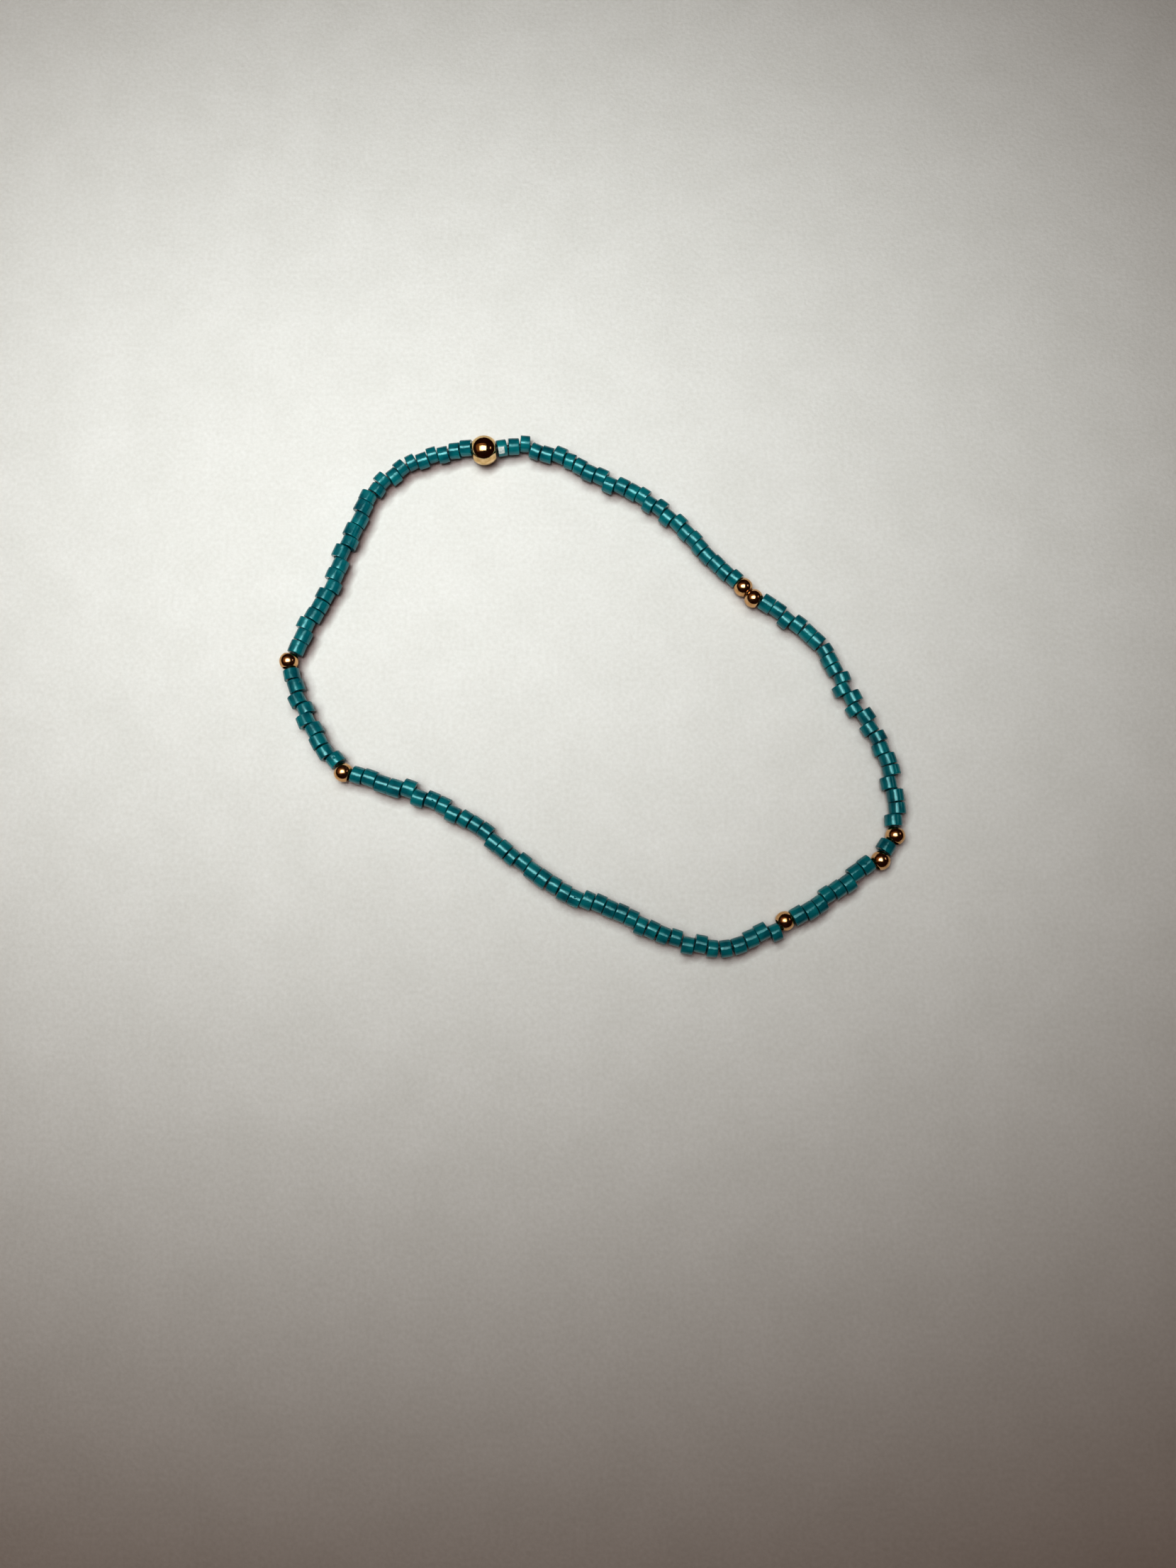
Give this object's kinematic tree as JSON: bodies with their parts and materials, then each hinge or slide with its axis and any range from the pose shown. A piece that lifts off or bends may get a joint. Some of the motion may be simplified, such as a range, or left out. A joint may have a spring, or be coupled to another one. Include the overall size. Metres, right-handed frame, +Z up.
{
  "type": "beaded bracelet",
  "caption": "Elastic bracelet of glossy teal tube seed beads with round gold beads among them, lying flat as a closed loop.",
  "frame": {"origin": "middle of the bounding box on the underside, on the surface the bracelet lies on", "axes": "+Z up from the surface, +X along the loop's longest extent, +Y across it"},
  "size_m": [0.0618, 0.0534, 0.0029],
  "materials": {
    "teal_glass": "opaque, glossy",
    "gold_plate": "polished gold plate"
  },
  "bodies": {
    "root": {"bead_string": "teal_glass", "gold_bead_large": "gold_plate", "gold_bead_1": "gold_plate", "gold_bead_2": "gold_plate", "gold_bead_3": "gold_plate", "gold_bead_4": "gold_plate", "gold_bead_5": "gold_plate", "gold_bead_6": "gold_plate", "gold_bead_7": "gold_plate"}
  },
  "joints": []
}
